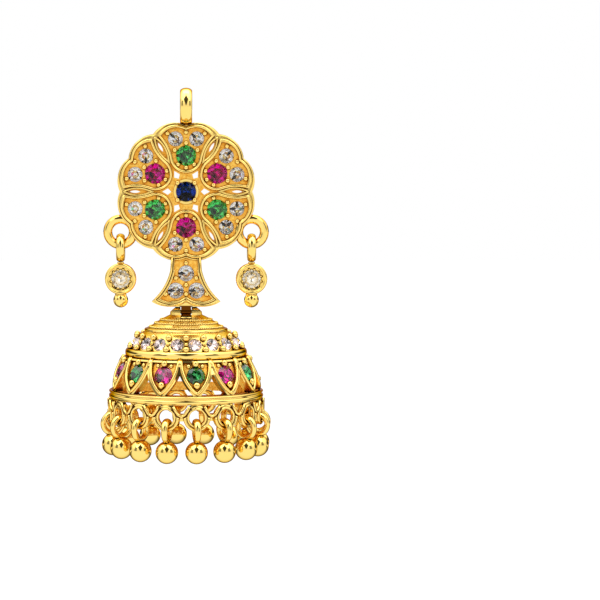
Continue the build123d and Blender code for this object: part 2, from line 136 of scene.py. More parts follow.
def build_plating_group():
    """Gold plating: its colour, dullness and grain, with a cast look wherever the floor mask is 1. Shade is
    painted into the colour: dark in crevices, deeper orange on floors near walls, and dark wherever the
    shade mask given to it is 1.
    """
    group = bpy.data.node_groups.new("gold_plating", "ShaderNodeTree")
    for name, default in (("Floor", 0.0), ("Dullness", 0.1), ("Grain", 0.1), ("Painted Shade", 0.0)):
        socket = group.interface.new_socket(name, in_out="INPUT", socket_type="NodeSocketFloat")
        socket.default_value = default
    for name, kind in (("Color", "Color"), ("Roughness", "Float"), ("Normal", "Vector")):
        group.interface.new_socket(name, in_out="OUTPUT", socket_type="NodeSocket" + kind)
    start = group.nodes.new("NodeGroupInput").outputs
    end = group.nodes.new("NodeGroupOutput").inputs
    wear = uneven(group, WEAR_SCALE, 3)
    pebbles = uneven(group, PEBBLE_SCALE, 2)

    bright = mix_colours(group, wear, RICH_GOLD, PALE_GOLD)
    cast = mix_colours(group, step(group, pebbles, 0.35, 0.62), CAST_HOLLOWS, CAST_PEBBLES)
    # Painted shade: the cast floors are painted deeper orange where walls stand near.
    recess_shade = step(group, openness(group, RECESS_REACH), 0.72, 0.3)
    cast = mix_colours(group, recess_shade, cast, RECESS_SHADE_GOLD)
    gold = mix_colours(group, start["Floor"], bright, cast)
    # Painted shade: the gold is painted dark in crevices, less so on the floors, and wherever the shade mask
    # asks.
    crevice_shade = step(group, openness(group, CREVICE_REACH), 0.78, 0.42)
    crevice_shade = maths(group, "MULTIPLY", crevice_shade, maths(group, "MULTIPLY_ADD", start["Floor"], -0.4, 1.0))
    painted_shade = maths(group, "MAXIMUM", crevice_shade, start["Painted Shade"])
    feed(group, mix_colours(group, painted_shade, gold, PAINTED_SHADE_GOLD), end["Color"])

    matt = maths(group, "MULTIPLY", start["Dullness"], maths(group, "ADD", wear, 0.5))
    feed(group, maths(group, "MULTIPLY_ADD", start["Floor"], 0.08, matt), end["Roughness"])
    relief = maths(group, "MULTIPLY_ADD", start["Floor"], 0.25, start["Grain"])
    bump = place_node(group, "Bump", {"Strength": relief, "Distance": 0.08 * MM, "Height": pebbles})
    feed(group, bump.outputs["Normal"], end["Normal"])
    return group


PLATING = build_plating_group()


def gold_finish(name, dullness=BRIGHT, grain=0.02, floor=0.0, painted_shade=0.0):
    """A gold-plated material. Each value is a number, or a function that works out where it applies."""
    material, tree, shader = shader_tree(name)
    shader.inputs["Metallic"].default_value = 1.0
    shader.inputs["Specular Tint"].default_value = GLANCING_TINT
    plating = tree.nodes.new("ShaderNodeGroup")
    plating.node_tree = PLATING
    for socket, value in (("Dullness", dullness), ("Grain", grain), ("Floor", floor), ("Painted Shade", painted_shade)):
        feed(tree, value(tree) if callable(value) else value, plating.inputs[socket])
    for output, socket in (("Color", "Base Color"), ("Roughness", "Roughness"), ("Normal", "Normal")):
        feed(tree, plating.outputs[output], shader.inputs[socket])
    return material


def plate_floor(tree):
    """The plate's recessed floors: what lies at their depth, apart from the ring on top."""
    axes = spot_axes(tree)
    behind_rims = step(tree, axes["Y"], -(FLOOR + FLOOR_SLACK) - 0.06, -(FLOOR + FLOOR_SLACK))
    before_back = step(tree, axes["Y"], -(FLOOR - FLOOR_SLACK) + 0.1, -(FLOOR - FLOOR_SLACK))
    below_ring = step(tree, axes["Z"], RING_FOOT + 0.2, RING_FOOT)
    return maths(tree, "MULTIPLY", maths(tree, "MULTIPLY", behind_rims, before_back), below_ring)


def plate_tongue(tree):
    """The plate's tongue below the fishtail, where the hinge's shade is painted dark into its colour."""
    axes = spot_axes(tree)
    narrow = step(tree, maths(tree, "ABSOLUTE", axes["X"]), TONGUE_HALF_WIDTH + 0.1, TONGUE_HALF_WIDTH)
    return maths(tree, "MULTIPLY", narrow, step(tree, axes["Z"], TONGUE_TOP + 0.08, TONGUE_TOP))


def plate_dullness(tree):
    """Bright in front and satin on the back face."""
    on_back = step(tree, spot_axes(tree)["Y"], -0.15, -0.05)
    return maths(tree, "MULTIPLY_ADD", on_back, SATIN_BACK, BRIGHT)


def paint_node(node_name, material):
    """Gives a CAD node its material."""
    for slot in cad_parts[node_name].material_slots:
        slot.material = material


# The tongue's mask paints shade dark into the plate's colour.
CAST_PLATE = gold_finish("cast_gold_plate", dullness=plate_dullness, floor=plate_floor, painted_shade=plate_tongue)
paint_node("stud_plate", CAST_PLATE)


# --- Rims of the plate --------------------------------------------------------------------------------
# Round wire raised along every edge of the casting and polished: the scalloped border, the petals, the
# leaf loops between them, and the fishtail's double rim. Thin wires painted dark lie in the narrow
# grooves inside the border and the fishtail's rim, as painted shade lines.

BRIGHT_GOLD = gold_finish("bright_gold", dullness=0.05, grain=0.0)
# Gold painted dark all through, as painted shade, for the shade lines and the knuckle.
SHADED_GOLD = gold_finish("shaded_gold", dullness=0.1, painted_shade=1.0)
PETAL_TURNS = [90 - 60 * i for i in range(6)]
LOBE_TURN = 10.5                                # from a petal's middle to the peak of its lobe
BORDER_EDGE = (7.93, 8.53, 8.09)                # radius at a notch, at a lobe's peak and at a petal's tip
GROOVE_EDGE = (7.7, 8.31, 7.86)
EYE_X, EYE_RADIUS = 4.3, 2.0                    # the round end of a petal's rim, toward the centre
EYE_BROW, EYE_END = 140, 100                    # where on it the rim passes and where it leaves
PETAL_CORNER, PETAL_LOBE, PETAL_NOTCH = (6.98, 3.58), (8.22, 1.55), 7.9
LEAF_FOOT, LEAF_SIDE, LEAF_TIP = (4.25, 0), (6.1, 0.48), (7.7, 0)
PETAL_INSET, TAIL_INSET, TAIL_GROOVE, TAIL_INNER_INSET = 0.15, 0.13, 0.31, 0.48


def polar(radius, angle):
    return (radius * cos(radians(angle)), radius * sin(radians(angle)))


def turned(points, angle):
    c, s = cos(radians(angle)), sin(radians(angle))
    return [(c * x - s * y, s * x + c * y) for x, y in points]


def arc(start, through, end, count=12):
    """Points of the arc through three points, the last one left out."""
    (ax, ay), (bx, by), (cx, cy) = start, through, end
    a2, b2, c2 = ax * ax + ay * ay, bx * bx + by * by, cx * cx + cy * cy
    d = 2 * (ax * (by - cy) + bx * (cy - ay) + cx * (ay - by))
    ux = (a2 * (by - cy) + b2 * (cy - ay) + c2 * (ay - by)) / d
    uy = (a2 * (cx - bx) + b2 * (ax - cx) + c2 * (bx - ax)) / d
    radius = hypot(ax - ux, ay - uy)
    first, middle, last = (atan2(y - uy, x - ux) for x, y in (start, through, end))
    swing = (last - first) % (2 * pi)
    if (middle - first) % (2 * pi) > swing:
        swing -= 2 * pi
    angles = [first + swing * i / count for i in range(count)]
    return [(ux + radius * cos(a), uy + radius * sin(a)) for a in angles]


def both_sides(half):
    """A closed outline from the half above the X axis, whose two ends lie on that axis."""
    return half + [(x, -y) for x, y in reversed(half[1:-1])]


def across(half):
    """A line across the middle, from the half of it that ends there."""
    return half + [(-x, z) for x, z in reversed(half[:-1])]


def at_depth(points, depth):
    """Points drawn across and up, laid that far in front of the plate's back face."""
    return [(x, -depth, z) for x, z in points]


def finish_piece(piece, material, body):
    piece.data.materials.clear()
    piece.data.materials.append(material)
    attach(piece, body)
    return piece


def lay_wire(name, paths, radius, body, closed, finish):
    """Round wire along paths of points in millimetres, soldered into one piece."""
    curve = bpy.data.curves.new(name, "CURVE")
    curve.dimensions = "3D"
    curve.bevel_depth = radius * MM
    curve.bevel_resolution = 2
    curve.use_fill_caps = True
    for path in paths:
        spline = curve.splines.new("POLY")
        spline.points.add(len(path) - 1)
        for point, spot in zip(spline.points, path):
            point.co = (*(Vector(spot) * MM), 1)
        spline.use_cyclic_u = closed
    wire = bpy.data.objects.new(name, curve)
    bpy.context.scene.collection.objects.link(wire)
    bpy.ops.object.select_all(action="DESELECT")
    wire.select_set(True)
    bpy.context.view_layer.objects.active = wire
    bpy.ops.object.convert(target="MESH")
    wire = bpy.context.object
    bpy.ops.object.mode_set(mode="EDIT")
    bpy.ops.mesh.select_all(action="SELECT")
    bpy.ops.mesh.remove_doubles(threshold=1e-7)
    bpy.ops.mesh.normals_make_consistent(inside=False)
    bpy.ops.object.mode_set(mode="OBJECT")
    bpy.ops.object.shade_smooth()
    return finish_piece(wire, finish, body)


def scalloped(notch, peak, tip):
    """The rosette's outline through its notches, the peaks of its lobes and the petals' tips."""
    outline = []
    for turn in PETAL_TURNS:
        outline += arc(polar(notch, turn + 30), polar(peak, turn + LOBE_TURN), polar(tip, turn))
        outline += arc(polar(tip, turn), polar(peak, turn - LOBE_TURN), polar(notch, turn - 30))
    return outline


def petal_half(inset):
    """Half of a petal's rim: round the eye, out along its side and over the lobe to the notch."""
    eye_radius = EYE_RADIUS - inset
    leave = (EYE_X + eye_radius * cos(radians(EYE_END)), eye_radius * sin(radians(EYE_END)))
    brow = (EYE_X + eye_radius * cos(radians(EYE_BROW)), eye_radius * sin(radians(EYE_BROW)))
    corner = (PETAL_CORNER[0] - 0.35 * inset, PETAL_CORNER[1] - 1.5 * inset)
    lobe = (PETAL_LOBE[0] - inset, PETAL_LOBE[1] - 0.25 * inset)
    notch = (PETAL_NOTCH - inset, 0)
    heading = radians(EYE_END - 90)
    chord = atan2(corner[1] - leave[1], corner[0] - leave[0])
    sag = hypot(corner[1] - leave[1], corner[0] - leave[0]) / 2 * tan((chord - heading) / 2)
    middle = ((leave[0] + corner[0]) / 2 + sag * sin(chord), (leave[1] + corner[1]) / 2 - sag * cos(chord))
    half = arc((EYE_X - eye_radius, 0), brow, leave, 10)
    return half + arc(leave, middle, corner) + arc(corner, lobe, notch) + [notch]


def tail_half(inset):
    """Half of the fishtail's edge, from the neck round the corner to the cusp, that far inside."""
    neck, waist = (1.83 - inset, -7.9), (1.95 - inset, -9.75)
    hip, corner = (2.75 - 1.1 * inset, -11.8), (4.28 - 1.9 * inset, -13.66 + 0.75 * inset)
    lobe, cusp = (2.1 - 0.4 * inset, -14.28 + inset), (0, -13.6 + inset)
    return [neck] + arc(waist, hip, corner) + arc(corner, lobe, cusp) + [cusp]


petal_rim = both_sides(petal_half(PETAL_INSET))
leaf = both_sides(arc(LEAF_FOOT, LEAF_SIDE, LEAF_TIP, 16) + [LEAF_TIP])
for name, paths, depth, radius, closed, finish in (
    ("plate_border", [scalloped(*BORDER_EDGE)], 1.4, 0.15, True, BRIGHT_GOLD),
    ("border_shade", [scalloped(*GROOVE_EDGE)], 1.44, 0.07, True, SHADED_GOLD),
    ("petal_rims", [turned(petal_rim, turn) for turn in PETAL_TURNS], 1.8, 0.17, True, BRIGHT_GOLD),
    ("leaf_loops", [turned(leaf, turn + 30) for turn in PETAL_TURNS], 1.71, 0.13, True, BRIGHT_GOLD),
    ("tail_rim", [across(tail_half(TAIL_INSET))], 1.78, 0.15, False, BRIGHT_GOLD),
    ("tail_shade", [across(tail_half(TAIL_GROOVE))], 1.82, 0.07, False, SHADED_GOLD),
    ("tail_inner_rim", [across(tail_half(TAIL_INNER_INSET))[1:-1]], 1.72, 0.11, False, BRIGHT_GOLD),
):
    lay_wire(name, [at_depth(path, depth) for path in paths], radius, "stud", closed, finish)


# --- Stones of the plate ------------------------------------------------------------------------------
# Round brilliant-cut glass stones with foiled backs, dropped into seats drilled in the plate: a blue one
# in the middle, green and ruby ones in turn in the petals' eyes, and clear ones in their lobes and on
# the fishtail.

EDGE, TABLE, CROWN = 0.02, 0.57, 0.34           # of a brilliant of radius 1: half its girdle's height,
                                                # its table's radius and its crown's height
GIRDLE = 0.12                                   # how far a stone's girdle stands before the floor
CENTRE_DEPTH, EYE_STONE = 1.5, 4.46             # the middle seat's depth, and a petal stone's reach
SILK_SCALE = 1300                               # noise cells in a metre
COLOURED_SIZE, WHITE_SIZE = (1.24, 0.42, 0.85), (0.91, 0.32, 0.62)     # radius, crown and pavilion
TAIL_SIZE = (0.98, 0.34, 0.66)
LOBE_STONES = ((6.53, 1.32), (6.53, -1.32))
TAIL_STONES = ((0, -10.16), (-1.29, -12.3), (1.29, -12.3))


def cut_brilliant():
    """Grinds a round brilliant of unit radius from a blank: table up, girdle at z = 0, culet down."""
    bpy.ops.object.select_all(action="DESELECT")
    bpy.ops.mesh.primitive_cylinder_add(vertices=32, radius=1, depth=2.4, location=(0, 0, 0))
    blank = bpy.context.object
    mains = [45 * i for i in range(8)]
    stars = [turn + 22.5 for turn in mains]
    halves = [turn + side for turn in mains for side in (11.25, 33.75)]
    cuts = (
        # tilt, turns, radius and height of a point on each facet
        (0, [0], 0.0, CROWN),
        (34.2, mains, 1.0, EDGE),
        (22, stars, TABLE * cos(radians(22.5)), CROWN),
        (41, halves, 0.994, EDGE),
        (180 - 36, mains, 1.0, -EDGE),
        (180 - 38, halves, 0.994, -EDGE),
    )
    bpy.ops.object.mode_set(mode="EDIT")
    for tilt, turns, reach, height in cuts:
        t = radians(tilt)
        for turn in turns:
            x, y = polar(1, turn)
            bpy.ops.mesh.select_all(action="SELECT")
            bpy.ops.mesh.bisect(plane_co=(reach * x, reach * y, height),
                                plane_no=(sin(t) * x, sin(t) * y, cos(t)), use_fill=True, clear_outer=True)
    bpy.ops.mesh.select_all(action="SELECT")
    bpy.ops.mesh.remove_doubles(threshold=1e-4)
    bpy.ops.mesh.normals_make_consistent(inside=False)
    bpy.ops.object.mode_set(mode="OBJECT")
    mould = blank.data
    bpy.data.objects.remove(blank)
    return mould


BRILLIANT = cut_brilliant()
PAVILION = -min(vertex.co.z for vertex in BRILLIANT.vertices)


def front_seat(x, z, depth):
    """A seat on the plate that faces the front."""
    return Matrix(((1, 0, 0, x), (0, 0, -1, -depth), (0, 1, 0, z), (0, 0, 0, 1)))


def join_copies(name, mould, seats):
    """Copies a mould to every seat, in millimetres, and joins the copies into one piece."""
    joined = bmesh.new()
    for seat in seats:
        copy = mould.copy()
        copy.transform(Matrix.Scale(MM, 4) @ seat)
        joined.from_mesh(copy)
        bpy.data.meshes.remove(copy)
    mesh = bpy.data.meshes.new(name)
    joined.to_mesh(mesh)
    joined.free()
    piece = bpy.data.objects.new(name, mesh)
    bpy.context.scene.collection.objects.link(piece)
    return piece


def stone_finish(name, colour, haze, dim, lit, refraction, gloss):
    """A cut stone, its body colour a little uneven with faint silk, and the foil behind its pavilion, whose
    facets are painted lit or dark as painted reflection.
    """
    glass, tree, shader = shader_tree(name)
    silk = uneven(tree, SILK_SCALE, 3)
    feed(tree, mix_colours(tree, step(tree, silk, 0.35, 0.7), colour, haze), shader.inputs["Base Color"])
    feed(tree, maths(tree, "MULTIPLY", silk, 0.04), shader.inputs["Roughness"])
    shader.inputs["IOR"].default_value = refraction
    shader.inputs["Specular Tint"].default_value = (gloss, gloss, gloss, 1)
    shader.inputs["Transmission Weight"].default_value = 1.0
    foil, tree, shader = shader_tree(name + "_foil")
    # Painted reflection: the foil is painted lit or dark facet by facet.
    facet = place_node(tree, "Attribute", attribute_name="facet").outputs["Fac"]
    feed(tree, mix_colours(tree, facet, dim, lit), shader.inputs["Base Color"])
    feed(tree, maths(tree, "MULTIPLY_ADD", facet, 0.1, 0.04), shader.inputs["Roughness"])
    shader.inputs["Metallic"].default_value = 1.0
    return glass, foil


def set_stones(name, node_name, seats, size, finish, body, painted_dark_share=0.1):
    """Cut stones in their seats, in place of a CAD node. The last value is the share of foil facets painted
    dark as painted reflection; the rest are painted lit.
    """
    radius, crown, pavilion = size
    mould = BRILLIANT.copy()
    for vertex in mould.vertices:
        vertex.co.z *= crown / CROWN if vertex.co.z > 0 else pavilion / PAVILION
    on_pavilion = [face.center.z < -2 * EDGE * pavilion / PAVILION for face in mould.polygons]
    widened = Matrix.Diagonal((radius, radius, 1, 1))
    stones = join_copies(name, mould, [seat @ widened for seat in seats])
    bpy.data.meshes.remove(mould)
    glass, foil = finish
    finish_piece(stones, glass, body)
    stones.data.materials.append(foil)
    light = random.Random(len(seats) + 1)
    facets = stones.data.attributes.new("facet", "FLOAT", "FACE")
    for face, foiled, facet in zip(stones.data.polygons, on_pavilion * len(seats), facets.data):
        face.material_index = int(foiled)
        # Painted reflection: each foil facet is painted dark or lit at random.
        facet.value = 0.0 if light.random() < painted_dark_share else light.uniform(0.85, 1.0)
    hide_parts(node_name)


GREEN_STONE = stone_finish("green_stone", colour=(0.12, 0.62, 0.24, 1), haze=(0.26, 0.78, 0.38, 1),
                           dim=(0.01, 0.10, 0.03, 1), lit=(0.60, 1.0, 0.66, 1), refraction=1.7, gloss=0.75)
RUBY_STONE = stone_finish("ruby_stone", colour=(0.72, 0.005, 0.30, 1), haze=(0.88, 0.03, 0.46, 1),
                          dim=(0.20, 0.005, 0.08, 1), lit=(1.0, 0.50, 0.95, 1), refraction=1.7, gloss=0.45)
BLUE_STONE = stone_finish("blue_stone", colour=(0.003, 0.065, 0.26, 1), haze=(0.01, 0.11, 0.38, 1),
                          dim=(0.01, 0.02, 0.06, 1), lit=(0.30, 0.60, 1.0, 1), refraction=1.6, gloss=0.25)
CLEAR_STONE = stone_finish("clear_stone", colour=(0.94, 0.98, 1.0, 1), haze=(0.98, 0.97, 1.0, 1),
                           dim=(0.01, 0.01, 0.012, 1), lit=(1.0, 1.0, 1.0, 1), refraction=1.55, gloss=1.0)

set_stones("centre_brilliant", "stone_centre", [front_seat(0, 0, CENTRE_DEPTH + GIRDLE)], COLOURED_SIZE,
           BLUE_STONE, "stud", painted_dark_share=0.3)
for number, turn in enumerate(PETAL_TURNS, start=1):
    finish, slot = (GREEN_STONE, "green_stone") if number % 2 else (RUBY_STONE, "red_stone")
    set_stones(f"petal_brilliant_{number}", f"stone_petal_{number}",
               [front_seat(*polar(EYE_STONE, turn), FLOOR + GIRDLE)], COLOURED_SIZE, finish, "stud",
               painted_dark_share=0.2)
lobe_spots = [spot for turn in PETAL_TURNS for spot in turned(LOBE_STONES, turn)]
set_stones("lobe_brilliants", "stones_white_rosette",
           [front_seat(*spot, FLOOR + GIRDLE) for spot in lobe_spots], WHITE_SIZE, CLEAR_STONE, "stud")
for number, spot in enumerate(TAIL_STONES, start=1):
    set_stones(f"tail_brilliant_{number}", f"stone_tail_{number}", [front_seat(*spot, FLOOR + GIRDLE)],
               TAIL_SIZE, CLEAR_STONE, "stud", painted_dark_share=0.16)


# --- Bead prongs of the plate -------------------------------------------------------------------------
# Beads raised from the plate's own metal with a graver and cupped over the stones' edges, three or more
# to each stone. They are polished brighter than the floor that they stand on.

PRONG_RADIUS, PRONG_RISE = 0.31, 0.32
PETAL_PRONGS = ((7.2, 2.33), (7.2, -2.33), (7.35, 0), (6.0, 0), (5.12, 1.42), (5.12, -1.42),
                (3.34, 1.02), (3.34, -1.02), (2.94, 0))
TAIL_PRONGS = ((0, -8.86), (1.28, -10.75), (-1.28, -10.75), (0, -11.6), (0, -12.75), (2.55, -12.75),
               (-2.55, -12.75))
CENTRE_PRONG_TURNS, CENTRE_PRONG_REACH, CENTRE_PRONG_DEPTH = (45, 135, 225, 315), 1.5, 1.76


def round_bead():
    """A ball of unit radius, slightly flattened on top by the beading tool."""
    bpy.ops.object.select_all(action="DESELECT")
    bpy.ops.mesh.primitive_uv_sphere_add(segments=14, ring_count=9, radius=1, location=(0, 0, 0))
    bead = bpy.context.object
    bpy.ops.object.shade_smooth()
    for vertex in bead.data.vertices:
        if vertex.co.z > 0:
            vertex.co.z *= 0.92
    mould = bead.data
    bpy.data.objects.remove(bead)
    return mould


BEAD = round_bead()


def raise_beads(name, seats, radius, body, finish=BRIGHT_GOLD):
    beads = join_copies(name, BEAD, [seat @ Matrix.Scale(radius, 4) for seat in seats])
    finish_piece(beads, finish, body)


spots = [spot for turn in PETAL_TURNS for spot in turned(PETAL_PRONGS, turn)] + list(TAIL_PRONGS)
seats = [front_seat(x, z, FLOOR + PRONG_RISE) for x, z in spots]
seats += [front_seat(*polar(CENTRE_PRONG_REACH, turn), CENTRE_PRONG_DEPTH) for turn in CENTRE_PRONG_TURNS]
raise_beads("plate_prongs", seats, PRONG_RADIUS, "stud")


# --- Ear post -----------------------------------------------------------------------------------------
# A plain round wire post with a rounded end, butt soldered to the back of the plate behind the blue
# stone. It is drawn wire, brightly plated.

paint_node("ear_post", BRIGHT_GOLD)


# --- Side charms --------------------------------------------------------------------------------------
# Two small cups with a cream stone each, hung by a bail from the plate's side rings, with a ball below.
# Each is soldered up from turned parts. Fine claws filed from the cup stand round the stone, inside a
# rounded lip.

CHARM_GOLD = gold_finish("charm_gold", dullness=0.08, grain=0.05)
CREAM_STONE = stone_finish("cream_stone", colour=(1.0, 0.95, 0.84, 1), haze=(1.0, 0.98, 0.92, 1),
                           dim=(0.50, 0.36, 0.22, 1), lit=(1.0, 0.98, 0.92, 1), refraction=1.5, gloss=1.0)
CHARM_X, CHARM_Z, CHARM_DEPTH = 8.15, -10.84, 1.4
CHARM_SIZE = (1.14, 0.34, 0.6)
LIP_REACH, LIP_DEPTH, LIP_RADIUS = 1.72, 1.66, 0.2
CLAWS, CLAW_REACH, CLAW_DEPTH, CLAW_RADIUS = 12, 1.2, 1.62, 0.13

for word, x in (("left", -CHARM_X), ("right", CHARM_X)):
    paint_node(f"charm_{word}", CHARM_GOLD)
    set_stones(f"charm_brilliant_{word}", f"stone_charm_{word}", [front_seat(x, CHARM_Z, CHARM_DEPTH)],
               CHARM_SIZE, CREAM_STONE, "stud")
    lip = [(x + dx, CHARM_Z + dz) for dx, dz in (polar(LIP_REACH, 360 * i / 40) for i in range(40))]
    lay_wire(f"charm_lip_{word}", [at_depth(lip, LIP_DEPTH)], LIP_RADIUS, "stud", True, BRIGHT_GOLD)
    claws = [polar(CLAW_REACH, 360 * i / CLAWS + 15) for i in range(CLAWS)]
    seats = [front_seat(x + dx, CHARM_Z + dz, CLAW_DEPTH) for dx, dz in claws]
    raise_beads(f"charm_claws_{word}", seats, CLAW_RADIUS, "stud")


# --- Knuckle ------------------------------------------------------------------------------------------
# The barrel at the foot of the plate, which the hinge pin runs through: a short tube soldered on the
# plate's eye, in the slot of the dome's collar. Its gold is painted dark all over, as painted shade in the
# slot.

AXIS_Y, HINGE_Z = -0.95, -14.95                 # where the dome's axis and the hinge's axis lie
KNUCKLE_RADIUS, KNUCKLE_WIDTH, KNUCKLE_WALL = 0.71, 1.2, 0.38

bpy.ops.object.select_all(action="DESELECT")
bpy.ops.mesh.primitive_cylinder_add(vertices=40, radius=KNUCKLE_RADIUS * MM, depth=KNUCKLE_WIDTH * MM,
                                    end_fill_type="NOTHING", location=(0, AXIS_Y * MM, HINGE_Z * MM),
                                    rotation=(0, pi / 2, 0))
knuckle = bpy.context.object
knuckle.name = "knuckle"
bpy.ops.object.transform_apply(location=True, rotation=True)
wall = knuckle.modifiers.new("wall", "SOLIDIFY")
wall.thickness = KNUCKLE_WALL * MM
wall.offset = -1.0
bpy.ops.object.modifier_apply(modifier="wall")
bpy.ops.object.shade_smooth_by_angle()
# Painted shade: the knuckle's gold is painted dark all over.
finish_piece(knuckle, SHADED_GOLD, "stud")


# --- Hinge pin ----------------------------------------------------------------------------------------
# A short round pin of hard wire, pushed through the two ears of the dome's collar. The plate's eye
# turns on it. It is plated with the rest.

paint_node("hinge_pin", BRIGHT_GOLD)


# --- Dome ---------------------------------------------------------------------------------------------
# The bell: a spun crown, a stone row, a pierced band of petals between two rings, and a skirt of loops,
# soldered up and plated as one. The crown is satin, and the floors behind the petals' rims and the
# bell's inside are duller still.

BAND_TOP, BAND_BELLY, BAND_FOOT = (7.78, -20.45), (8.78, -22.5), (9.25, -24.7)     # radius and height
SATIN_FOOT = -19.5                              # the height where the upper ring's polish starts
FLOORS_TOP, FLOORS_FOOT = -20.35, -25.6         # the heights between which the metal inside is cast
DOME_BRIGHT, SATIN_CROWN, DULL_FLOORS = 0.08, 0.17, 0.28      # roughness, and what the others add


def band_curve():
    """The petal band's outer radius as a quadratic of its height: the three factors."""
    (r0, z0), (r1, z1), (r2, z2) = BAND_TOP, BAND_BELLY, BAND_FOOT
    a = ((r2 - r0) / (z2 - z0) - (r1 - r0) / (z1 - z0)) / (z2 - z1)
    b = (r1 - r0) / (z1 - z0) - a * (z0 + z1)
    return a, b, r0 - a * z0 * z0 - b * z0


CURVE_A, CURVE_B, CURVE_C = band_curve()


def band_radius(z):
    return (CURVE_A * z + CURVE_B) * z + CURVE_C


def dome_floor(tree):
    """The petals' recessed floors and the bell's inside: whatever is inside the band's outer skin."""
    axes = spot_axes(tree)
    from_axis = maths(tree, "SUBTRACT", axes["Y"], AXIS_Y)
    squares = maths(tree, "ADD", maths(tree, "MULTIPLY", axes["X"], axes["X"]),
                    maths(tree, "MULTIPLY", from_axis, from_axis))
    radius = maths(tree, "SQRT", squares)
    slope = maths(tree, "MULTIPLY_ADD", axes["Z"], CURVE_A, CURVE_B)
    skin = maths(tree, "MULTIPLY_ADD", slope, axes["Z"], CURVE_C)
    below_skin = step(tree, maths(tree, "SUBTRACT", skin, radius), 0.12, 0.24)
    in_band = maths(tree, "MULTIPLY", step(tree, axes["Z"], FLOORS_TOP + 0.25, FLOORS_TOP),
                    step(tree, axes["Z"], FLOORS_FOOT - 0.1, FLOORS_FOOT))
    return maths(tree, "MULTIPLY", below_skin, in_band)


def dome_dullness(tree):
    """Satin on the crown and its stone row, bright below them, and dull on the cast floors."""
    on_crown = step(tree, spot_axes(tree)["Z"], SATIN_FOOT, SATIN_FOOT + 0.2)
    skin = maths(tree, "MULTIPLY_ADD", on_crown, SATIN_CROWN, DOME_BRIGHT)
    return maths(tree, "MULTIPLY_ADD", dome_floor(tree), DULL_FLOORS, skin)


DOME_GOLD = gold_finish("dome_gold", dullness=dome_dullness, floor=dome_floor)
paint_node("dome", DOME_GOLD)


def dome_seat(azimuth, radius, z, tilt=0.0):
    """A seat on the dome that faces outwards and is tilted up."""
    a, t = radians(azimuth), radians(tilt)
    out = Vector((cos(t) * sin(a), -cos(t) * cos(a), sin(t)))
    side = Vector((cos(a), sin(a), 0))
    seat = Matrix((side, out.cross(side), out)).transposed().to_4x4()
    seat.translation = (radius * sin(a), AXIS_Y - radius * cos(a), z)
    return seat


# --- Crown milgrain and rings -------------------------------------------------------------------------
# Three courses of milgrain rolled round the crown with a knurling wheel, plain wires above and below
# them, and half-round mouldings at the head and foot of the petal band, all soldered on.

SATIN_GOLD = gold_finish("satin_gold", dullness=0.24, grain=0.1)
CROWN_LINE = arc((2.0, -15.3), (3.78, -16.26), (5.3, -17.4), 24)                   # radius and height
MILGRAIN_COURSES = (8, 13, 18)                  # the points of the crown's line that the courses follow
MILGRAIN_PITCH, MILGRAIN_RADIUS, MILGRAIN_RISE = 0.27, 0.15, 0.01


def hoop(name, radius, z, half_width, half_height):
    """A ring round the dome's axis, of oval wire."""
    bpy.ops.object.select_all(action="DESELECT")
    bpy.ops.mesh.primitive_torus_add(major_radius=radius * MM, minor_radius=half_width * MM,
                                     major_segments=96, minor_segments=16, location=(0, 0, 0))
    ring = bpy.context.object
    ring.name = name
    for vertex in ring.data.vertices:
        vertex.co.z *= half_height / half_width
    ring.data.transform(Matrix.Translation((0, AXIS_Y * MM, z * MM)))
    bpy.ops.object.shade_smooth()
    finish_piece(ring, BRIGHT_GOLD, "bell")


proud = Matrix.Translation((0, 0, MILGRAIN_RISE))
for number, index in enumerate(MILGRAIN_COURSES, start=1):
    (radius, z), (next_radius, next_z) = CROWN_LINE[index:index + 2]
    tilt = degrees(atan2(next_radius - radius, z - next_z))
    count = int(2 * pi * radius / MILGRAIN_PITCH)
    seats = [dome_seat(360 * i / count, radius, z, tilt) @ proud for i in range(count)]
    raise_beads(f"milgrain_{number}", seats, MILGRAIN_RADIUS, "bell", SATIN_GOLD)
for name, radius, z, half_width, half_height in (
    ("collar_wire", 2.05, -15.6, 0.13, 0.13),
    ("crown_wire", 4.97, -17.17, 0.25, 0.25),
    ("upper_moulding", 7.26, -19.94, 0.36, 0.52),
    ("lower_moulding", 9.3, -25.33, 0.36, 0.35),
    ("lower_bead", 9.44, -24.76, 0.2, 0.14),
):
    hoop(name, radius, z, half_width, half_height)


# --- Crown row stones ---------------------------------------------------------------------------------
# Eighteen clear brilliants in seats round the foot of the crown. Each two share a large bead above and
# one below, raised from the crown's metal, with a small grain between.

ROW_STONE = stone_finish("row_stone", colour=(1.0, 0.96, 0.95, 1), haze=(1.0, 0.91, 0.90, 1),
                         dim=(0.06, 0.045, 0.045, 1), lit=(1.0, 0.92, 0.90, 1), refraction=1.6, gloss=1.0)
ROW_TURNS = [10 + 20 * i for i in range(18)]
ROW_TILT, ROW_SIZE = 30, (0.8, 0.28, 0.45)
ROW_SEAT = (6.45, -18.62)                       # radius and height
ROW_PRONGS, ROW_GRAINS = ((6.08, -17.85), (6.92, -19.22)), ((6.5, -18.55),)

seats = [dome_seat(turn, *ROW_SEAT, ROW_TILT) for turn in ROW_TURNS]
set_stones("row_brilliants", "stones_crown_row", seats, ROW_SIZE, ROW_STONE, "bell")
for name, radius, rise, spots in (
    ("row_prongs", 0.4, 0.14, ROW_PRONGS),
    ("row_grains", 0.24, 0, ROW_GRAINS),
):
    proud = Matrix.Translation((0, 0, rise))
    seats = [dome_seat(turn + 10, *spot, ROW_TILT) @ proud for turn in ROW_TURNS for spot in spots]
    raise_beads(name, seats, radius, "bell")


# --- Petal band ---------------------------------------------------------------------------------------
# Thirteen pointed petals round the bell, each a rounded rim about a ruby or green stone that two large
# beads and two small ones hold. The metal between the petals is pierced, but for a bar at the top.

